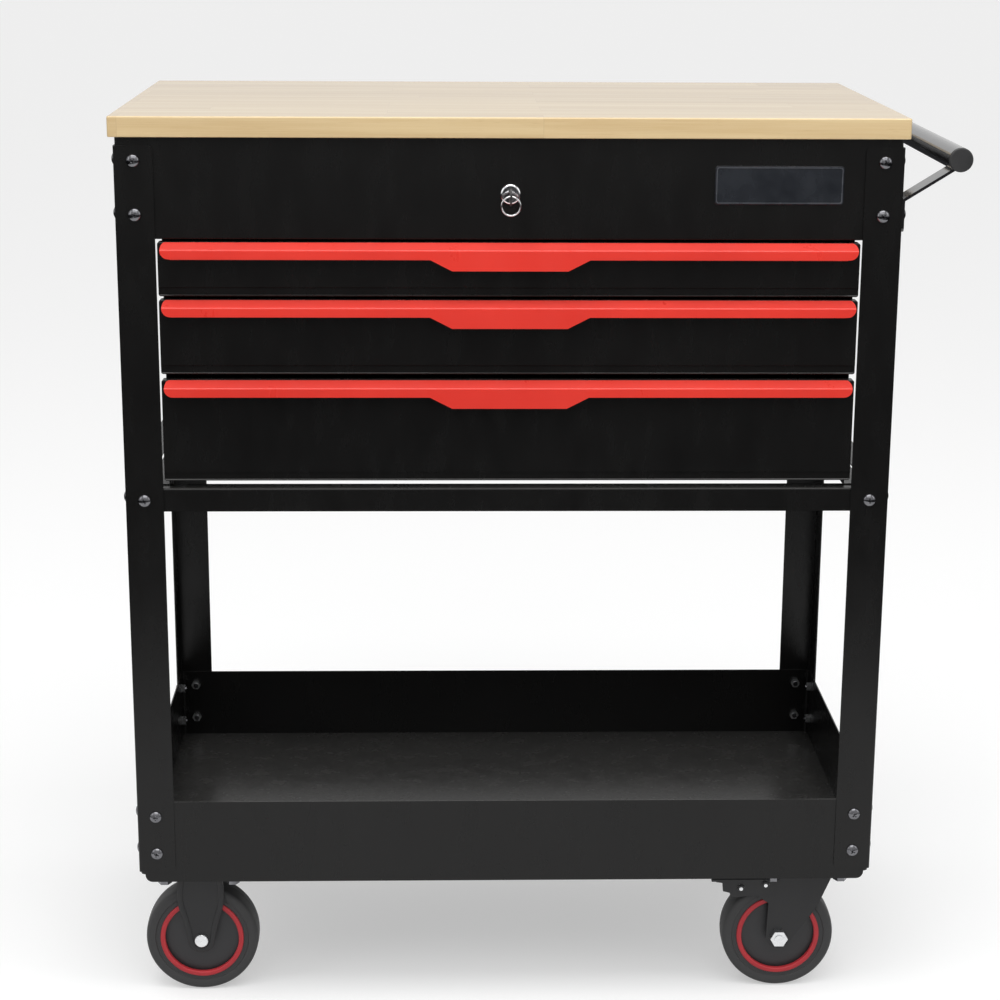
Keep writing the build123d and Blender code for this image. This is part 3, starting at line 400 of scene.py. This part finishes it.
def stand_on_points(recipe, piece):
    tree = recipe.tree
    facing = recipe.add("InputNamedAttribute", {"Name": "facing"}, data_type="FLOAT_VECTOR").outputs[0]
    turn = recipe.add("InputNamedAttribute", {"Name": "turn"}, data_type="FLOAT").outputs[0]
    aligned = add(tree, "FunctionNodeAlignRotationToVector", {"Vector": facing}, axis="Z").outputs[0]
    spin = add(tree, "FunctionNodeAxisAngleToRotation", {"Axis": (0, 0, 1), "Angle": turn}).outputs[0]
    turns = {"Rotation": aligned, "Rotate By": spin}
    placed = add(tree, "FunctionNodeRotateRotation", turns, rotation_space="LOCAL").outputs[0]
    sockets = {"Points": recipe.size("Points"), "Instance": piece, "Rotation": placed}
    return recipe.add("InstanceOnPoints", sockets).outputs["Instances"]


def in_scene(name, data):
    thing = bpy.data.objects.new(name, data)
    bpy.context.scene.collection.objects.link(thing)
    return thing


def seats_mesh(seats):
    mesh = bpy.data.meshes.new("seats")
    mesh.from_pydata([tuple(seat[0]) for seat in seats], [], [])
    facing = mesh.attributes.new("facing", "FLOAT_VECTOR", "POINT")
    facing.data.foreach_set("vector", np.array([tuple(seat[1]) for seat in seats]).ravel())
    turn = mesh.attributes.new("turn", "FLOAT", "POINT")
    turn.data.foreach_set("value", [seat[2] if len(seat) > 2 else 0.0 for seat in seats])
    return mesh


def lines_mesh(lines):
    mesh = bpy.data.meshes.new("lines")
    points, edges = [], []
    for line in lines:
        edges += [(len(points) + index, len(points) + index + 1) for index in range(len(line) - 1)]
        points += line
    mesh.from_pydata(points, edges, [])
    return mesh


def grown(name, recipe, mesh, finish, **sizes):
    host = in_scene(name + "_host", mesh)
    modifier = host.modifiers.new("recipe", "NODES")
    modifier.node_group = recipe.tree
    for label, value in sizes.items():
        modifier[recipe.names[label]] = value
    modifier[recipe.names["Finish"]] = finishes[finish]
    ready = host.evaluated_get(bpy.context.evaluated_depsgraph_get())
    result = bpy.data.meshes.new_from_object(ready)
    result.name = name
    bpy.data.objects.remove(host)
    piece = in_scene(name, result)
    print(name, len(mesh.vertices), "points in,", len(result.polygons), "faces out")
    return piece


# %% [markdown]
# ## Phillips screws
# The posts are held by black-plated pan heads with a cross recess. The head is the upper half of a ball,
# flattened: below its equator every point is lifted to the seat, which closes the dome with a flat underside.
# Two crossed blocks are cut out for the driver, and a shank goes through the sheet. Each screw stopped
# at its own angle when it was driven, and that turn comes with its point.

# %% Dome shape
def dome_shape(recipe):
    ball = recipe.add("MeshUVSphere", {"Segments": 56, "Rings": 34, "Radius": 1.0}).outputs["Mesh"]
    place = add(recipe.tree, "ShaderNodeSeparateXYZ", {0: recipe.add("InputPosition").outputs[0]})
    above_seat = maths(recipe.tree, "MAXIMUM", place.outputs["Z"], 0.0)
    point = vector_in(
        recipe.tree,
        maths(recipe.tree, "MULTIPLY", place.outputs["X"], recipe.size("Head_Radius")),
        maths(recipe.tree, "MULTIPLY", place.outputs["Y"], recipe.size("Head_Radius")),
        maths(recipe.tree, "MULTIPLY", above_seat, recipe.size("Head_Height")),
    )
    return recipe.add("SetPosition", {"Geometry": ball, "Position": point}).outputs[0]


# %% Screw recipe
screw_recipe = Recipe(
    "phillips_screw", Head_Radius="Float", Head_Height="Float", Recess_Length="Float", Recess_Width="Float",
    Recess_Depth="Float", Shank_Radius="Float", Shank_Length="Float",
)
r = screw_recipe
dome = dome_shape(r)
floor_of_recess = maths(r.tree, "SUBTRACT", r.size("Head_Height"), r.size("Recess_Depth"))
cutters = []
for length, width in (("Recess_Length", "Recess_Width"), ("Recess_Width", "Recess_Length")):
    height = maths(r.tree, "MULTIPLY", r.size("Recess_Depth"), 2.0)
    size = vector_in(r.tree, r.size(length), r.size(width), height)
    bar = r.add("MeshCube", {"Size": size}).outputs["Mesh"]
    lift = vector_in(r.tree, 0.0, 0.0, maths(r.tree, "ADD", floor_of_recess, r.size("Recess_Depth")))
    cutters.append(r.add("Transform", {"Geometry": bar, "Translation": lift}).outputs[0])
for cutter in cutters:
    cut = r.add("MeshBoolean", {"Mesh 1": dome}, operation="DIFFERENCE")
    r.tree.links.new(cutter, cut.inputs["Mesh 2"])
    dome = cut.outputs["Mesh"]
shank = r.add(
    "MeshCylinder", {"Vertices": 24, "Radius": r.size("Shank_Radius"), "Depth": r.size("Shank_Length")}
).outputs["Mesh"]
sunk = vector_in(r.tree, 0.0, 0.0, maths(r.tree, "MULTIPLY", r.size("Shank_Length"), -0.49))
shank = r.add("Transform", {"Geometry": shank, "Translation": sunk}).outputs[0]
both = r.add("JoinGeometry")
r.tree.links.new(dome, both.inputs[0])
r.tree.links.new(shank, both.inputs[0])
r.finish(stand_on_points(r, smooth_by_angle(r, both.outputs[0])))

# %% [markdown]
# ## Rivets on the brake levers
# Each brake lever turns on a riveted pin, and a second rivet holds its shoe. Their domes are the screw's dome
# without a recess, on the outer face of both cheeks, so the same dome nodes serve again. The pin lies on the
# lever's own joint, so the joint gives its place, and the shoe's rivet is a fixed step from it.

# %% Rivet recipe
rivet_recipe = Recipe("domed_rivet", Head_Radius="Float", Head_Height="Float")
r = rivet_recipe
r.finish(stand_on_points(r, smooth_by_angle(r, dome_shape(r))))

# %% Rivets on both brakes
rivet_sizes = {"Head_Radius": 0.0044, "Head_Height": 0.0025}
pin_of = {joint["name"]: Vector(joint["pos_m"]) for joint in frame["joints"] if "pos_m" in joint}
shoe_step = Vector((-0.0275, 0, -0.004))
cheek_face = 0.0249
for end in ("front", "rear"):
    pin = pin_of[f"brake_{end}_press"]
    seats = [
        (pin + step + Vector((0, side * cheek_face, 0)), Vector((0, side, 0)))
        for step in (Vector((0, 0, 0)), shoe_step) for side in (-1, 1)
    ]
    rivets = grown(f"brake_rivets_{end}", rivet_recipe, seats_mesh(seats), "zinc_hardware", **rivet_sizes)
    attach(rivets, f"brake_{end}")

# %% [markdown]
# ## A screw on every seat
# One cloud of points carries all the screws, with the way each faces and its turn. The turns are drawn from
# a seeded generator, so they look driven by hand and yet come out the same on every run.

# %% Screws in the posts
driven = np.random.default_rng(7).uniform(0, math.pi / 2, len(screw_seats))
seats = [(seat, facing, turn) for (seat, facing), turn in zip(screw_seats, driven)]
screw_sizes = {
    "Head_Radius": 0.0069, "Head_Height": screw_head_height - 0.0001, "Recess_Length": 0.0056,
    "Recess_Width": 0.0014, "Recess_Depth": 0.0018, "Shank_Radius": 0.003, "Shank_Length": 0.0095,
}
post_screws = grown("post_screws", screw_recipe, seats_mesh(seats), "black_screw", **screw_sizes)
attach(post_screws, "cabinet")
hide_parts("frame_screws")

# %% [markdown]
# ## Red rings and tyres
# Each wheel has a red ring pressed into both of its faces, around the hub. A rounded bar swept round a
# circle is exactly that, and each wheel needs two. The tyre is a turned shape: a section of a crowned tread,
# round shoulders and a shallow side. A screw modifier could turn it, but writing the rings of points out
# keeps every number of the section in sight and closes the last ring onto the first without a seam.

# %% Ring recipe
ring_recipe = Recipe(
    "pressed_ring", Ring_Radius="Float", Bar_Width="Float", Bar_Depth="Float", Corner="Float"
)
r = ring_recipe
path = r.add("CurvePrimitiveCircle", {"Resolution": 128, "Radius": r.size("Ring_Radius")}).outputs["Curve"]
bar = r.add(
    "CurvePrimitiveQuadrilateral", {"Width": r.size("Bar_Width"), "Height": r.size("Bar_Depth")}
).outputs["Curve"]
bar_corners = {"Curve": bar, "Radius": r.size("Corner"), "Count": 6}
bar = r.add("FilletCurve", bar_corners, mode="POLY").outputs["Curve"]
ring = r.add("CurveToMesh", {"Curve": path, "Profile Curve": bar, "Fill Caps": False}).outputs["Mesh"]
r.finish(stand_on_points(r, smooth_by_angle(r, ring, 0.9)))

# %% Rings and tyres on the four wheels
def turned_about_y(name, section, centre, finish, steps=144):
    verts, faces = [], []
    for step in range(steps):
        angle = 2 * math.pi * step / steps
        across, upward = math.cos(angle), math.sin(angle)
        for radius, along in section:
            verts.append((centre.x + radius * across, centre.y + along, centre.z + radius * upward))
    count = len(section)
    for step in range(steps):
        for index in range(count):
            here, there = step * count, ((step + 1) % steps) * count
            following = (index + 1) % count
            faces.append((here + index, here + following, there + following, there + index))
    mesh = bpy.data.meshes.new(name)
    mesh.from_pydata(verts, [], faces)
    mesh.materials.append(finishes[finish])
    mesh.shade_smooth()
    mesh.set_sharp_from_angle(angle=0.7)
    return in_scene(name, mesh)


def arc(centre_radius, centre_along, size, start, end, steps=7):
    angles = [math.radians(start + (end - start) * step / (steps - 1)) for step in range(steps)]
    return [(centre_radius + size * math.sin(a), centre_along + size * math.cos(a)) for a in angles]


def tyre_section(outer, inner, half_width):
    crown, shoulder = 0.0006, 0.0052
    seam_depth, seam_half_width = 0.00025, 0.0004
    half = [
        (inner, half_width - 0.0014), (inner + 0.0016, half_width - 0.0014),
        (inner + 0.0022, half_width - 0.0004), (inner + 0.0045, half_width - 0.00005),
    ]
    half += arc(outer - crown - shoulder, half_width - shoulder, shoulder, 12, 84)
    half += [(outer - 0.3 * crown, 0.45 * half_width), (outer, 0.0009), (outer, 0.0006)]
    half.append((outer - seam_depth, seam_half_width))
    return half + [(radius, -along) for radius, along in reversed(half)]


hub_gap = 0.00002
ring_sink = 0.0022
ring_sizes = {"Ring_Radius": 0.0438, "Bar_Width": 0.0056, "Bar_Depth": 0.0058, "Corner": 0.0014}
for kind in ("rigid", "swivel"):
    for end in ("front", "rear"):
        low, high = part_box(f"{kind}_tyre_{end}")
        hub_low, hub_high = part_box(f"{kind}_hub_{end}")
        centre = (low + high) / 2
        half_width = (high.y - low.y) / 2
        section = tyre_section((high.z - low.z) / 2, (hub_high.z - hub_low.z) / 2 + hub_gap, half_width)
        tyre = turned_about_y(f"turned_{kind}_tyre_{end}", section, centre, "tyre_rubber")
        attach(tyre, f"{kind}_wheel_{end}")
        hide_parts(f"{kind}_tyre_{end}")
        face = half_width - ring_sink
        sides = [(centre + Vector((0, side * face, 0)), Vector((0, side, 0))) for side in (-1, 1)]
        ring = grown(
            f"red_ring_{kind}_{end}", ring_recipe, seats_mesh(sides), "wheel_ring_red", **ring_sizes
        )
        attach(ring, f"{kind}_wheel_{end}")

# %% [markdown]
# ## The pressed rim of the fixed forks
# A fork's leg is stamped from sheet, and the press leaves a raised rim along its edge that stiffens it. The
# rim runs down one side, round the axle and up the other, so it is a low oval bar swept along that line. The
# line's points sit a few millimetres inside the leg's outline, and a spline through them rounds the corners.

# %% Rim recipe
rim_recipe = Recipe("pressed_rim", Rise="Float", Half_Width="Float")
r = rim_recipe
path = r.add("MeshToCurve", {"Mesh": r.size("Points")}).outputs["Curve"]
path = r.add("CurveSplineType", {"Curve": path}, spline_type="CATMULL_ROM").outputs["Curve"]
path = r.add("ResampleCurve", {"Curve": path, "Count": 90}).outputs["Curve"]
path = r.add("SetCurveNormal", {"Curve": path, "Normal": (0, 1, 0)}, mode="FREE").outputs["Curve"]
oval = r.add("CurvePrimitiveCircle", {"Resolution": 20, "Radius": 1.0}).outputs["Curve"]
oval_size = vector_in(r.tree, r.size("Rise"), r.size("Half_Width"), 1.0)
oval = r.add("Transform", {"Geometry": oval, "Scale": oval_size}).outputs[0]
rim = r.add("CurveToMesh", {"Curve": path, "Profile Curve": oval, "Fill Caps": True}).outputs["Mesh"]
r.finish(smooth_by_angle(r, rim))

# %% Rims on the fixed forks
leg_side = [
    (0.0207, 0.137), (0.0222, 0.124), (0.0227, 0.114), (0.0217, 0.106), (0.0188, 0.095), (0.0150, 0.080)
]
axle_height = 0.063
rim_turn = 0.0115
leg_face = 0.0219
rim_sizes = {"Rise": 0.0015, "Half_Width": 0.0031}
under_axle = [math.radians(angle) for angle in (-12, -36, -63, -90, -117, -144, -168)]
bottom = [(rim_turn * math.cos(a), axle_height + rim_turn * math.sin(a)) for a in under_axle]
rim_line = leg_side + bottom + [(-x, z) for x, z in reversed(leg_side)]
for end in ("front", "rear"):
    hub_low, hub_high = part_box(f"rigid_hub_{end}")
    middle = (hub_low + hub_high) / 2
    legs = [[(middle.x + x, middle.y + side * leg_face, z) for x, z in rim_line] for side in (-1, 1)]
    rims = grown(f"fork_rims_{end}", rim_recipe, lines_mesh(legs), "caster_black", **rim_sizes)
    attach(rims, "cabinet")

# %% [markdown]
# ## The badge plate
# A blank plate sits on the header: a dark glossy field with a thin paler frame. The frame could be painted
# on by the shader, but it stands a hair proud of the plate and catches light on its edges, so it is its own
# small mesh: four rounded outlines, joined band by band into a closed strip.

# %% Badge frame
def rounded_outline(width, height, corner, steps=7):
    points = []
    for cx, cz, start in ((1, 1, 0), (-1, 1, 90), (-1, -1, 180), (1, -1, 270)):
        for step in range(steps):
            angle = math.radians(start + 90 * step / (steps - 1))
            x = cx * (width / 2 - corner) + corner * math.cos(angle)
            z = cz * (height / 2 - corner) + corner * math.sin(angle)
            points.append((x, z))
    return points


plate_low, plate_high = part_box("nameplate")
plate_middle = (plate_low + plate_high) / 2
plate_size = plate_high - plate_low
inset, strip, proud, plate_corner = 0.0012, 0.0011, 0.00035, 0.003
loops = [(inset, 0.0), (inset, -proud), (inset + strip, -proud), (inset + strip, 0.0)]
verts, faces = [], []
for offset, rise in loops:
    corner = plate_corner - 0.4 * offset
    outline = rounded_outline(plate_size.x - 2 * offset, plate_size.z - 2 * offset, corner)
    verts += [(plate_middle.x + x, plate_low.y + rise, plate_middle.z + z) for x, z in outline]
count = len(outline)
for band in range(len(loops)):
    for index in range(count):
        following = (index + 1) % count
        here, there = band * count, ((band + 1) % len(loops)) * count
        faces.append((here + index, there + index, there + following, here + following))
mesh = bpy.data.meshes.new("badge_frame")
mesh.from_pydata(verts, [], faces)
mesh.materials.append(finishes["badge_border"])
badge_frame = in_scene("badge_frame", mesh)
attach(badge_frame, "cabinet")
print("badge frame:", len(faces), "faces")

# %% [markdown]
# ## The studio
# The chest stands on pale paper that runs out of sight, so the floor is also the background. In a real studio
# only the paper near the object is lit, and the room in front is dark: that is why upright gloss black
# panels look black, while their lower parts and their folds pick up the light. The near floor is therefore a
# disc that shows in reflections, and the far floor around it is the same paper but leaves no reflection. The
# paper glows a little, as if lit from behind, which keeps the shadow under the chest soft. The near disc
# throws no light up at the chest, so the lower panels stay as dark as the upper ones.

# %% Floors
near_radius, far_radius = 1.5, 60.0


def flat_ring(name, inner, outer, steps=96):
    verts, faces = [], []
    for step in range(steps):
        angle = 2 * math.pi * step / steps
        verts += [(radius * math.cos(angle), radius * math.sin(angle), 0.0) for radius in (inner, outer)]
    for step in range(steps):
        here, there = 2 * step, 2 * ((step + 1) % steps)
        faces.append((here, here + 1, there + 1, there))
    if inner == 0:
        faces = [(2 * step + 1, 2 * ((step + 1) % steps) + 1, 0) for step in range(steps)]
    mesh = bpy.data.meshes.new(name)
    mesh.from_pydata(verts, [], faces)
    mesh.materials.append(finishes["studio_paper"])
    ring = in_scene(name, mesh)
    return ring


new_finish(
    "studio_paper", Roughness=0.8, Specular_IOR_Level=0.1, Base_Color=(0.62, 0.62, 0.62, 1),
    Emission_Color=(1, 1, 1, 1), Emission_Strength=0.41
)
near_floor = flat_ring("near_floor", 0.0, near_radius)
near_floor.visible_diffuse = False
far_floor = flat_ring("far_floor", near_radius, far_radius)
far_floor.visible_glossy = False
print("floors:", near_floor.name, far_floor.name)

# %% [markdown]
# ## Light from the room
# The sky of this room is a plain white down to the horizon and dark below it, with a soft edge between.
# The floor hides the dark half from the camera, so only reflections ever meet it.

# %% World
world = bpy.data.worlds.new("studio")
world.use_nodes = True
tree = world.node_tree
direction = add(tree, "ShaderNodeTexCoord").outputs["Generated"]
height = add(tree, "ShaderNodeSeparateXYZ", {0: direction}).outputs["Z"]
dark_room, white_room = (0.035, 0.035, 0.038, 1), (1, 1, 1, 1)
room = mixed(tree, between(tree, height, 0.0, 1.0, -0.085, -0.02), dark_room, white_room)
background = tree.nodes["Background"]
tree.links.new(room, background.inputs["Color"])
background.inputs["Strength"].default_value = 0.70
bpy.context.scene.world = world
bpy.context.scene.view_settings.view_transform = "Standard"
print("room light:", background.inputs["Strength"].default_value)

# %% [markdown]
# ## Four soft lights
# Wide soft lights add to the sky. The strongest hangs over the floor in front, so that folds and slopes that
# look up are brighter than upright faces. A second one fills the front from high up, and two weak ones at
# the sides draw out the edges of the posts.

# %% Lights
def soft_light(name, place, target, size, power):
    lamp = bpy.data.lights.new(name, "AREA")
    lamp.shape = "RECTANGLE"
    lamp.size, lamp.size_y = size
    lamp.energy = power
    light = in_scene(name, lamp)
    light.location = place
    light.rotation_euler = (Vector(target) - Vector(place)).to_track_quat("-Z", "Y").to_euler()


chest_middle = (cad_bounds[0] + cad_bounds[1]) / 2
soft_light("overhead", (0.0, -0.95, 3.3), chest_middle, (2.8, 1.5), 46)
soft_light("front_high", (-0.1, -2.3, 2.6), chest_middle, (2.6, 1.1), 14)
soft_light("left", (-2.6, -1.6, 2.0), chest_middle, (0.8, 1.9), 8)
soft_light("right", (2.7, -1.3, 2.1), chest_middle, (0.8, 1.9), 9)
print("lights set about", tuple(round(value, 3) for value in chest_middle))

# %% [markdown]
# ## The camera
# The camera stands about two and a half metres away, a little above the worktop, and looks slightly down.
# Its turn is written as three plain angles: to the right, down, and a hair of roll. Its own three axes are
# worked out from them one after the other, which is easier to follow than a matrix of nine numbers.

# %% Camera
turn_right, look_down, roll = (math.radians(value) for value in (1.57, 14.88, 0.34))
flat = math.cos(look_down)
ahead = Vector((math.sin(turn_right) * flat, math.cos(turn_right) * flat, -math.sin(look_down)))
level = Vector((math.cos(turn_right), -math.sin(turn_right), 0))
upright = level.cross(ahead)
across = level * math.cos(roll) + upright * math.sin(roll)
up = upright * math.cos(roll) - level * math.sin(roll)
lens = bpy.data.cameras.new("camera")
lens.sensor_width = 36.0
lens.lens = 82.58
camera = in_scene("camera", lens)
camera_place = Matrix.Translation((-0.1060, -2.5459, 1.2010))
camera.matrix_world = camera_place @ Matrix((across, up, -ahead)).transposed().to_4x4()
bpy.context.scene.camera = camera
print("lens", lens.lens, "mm")
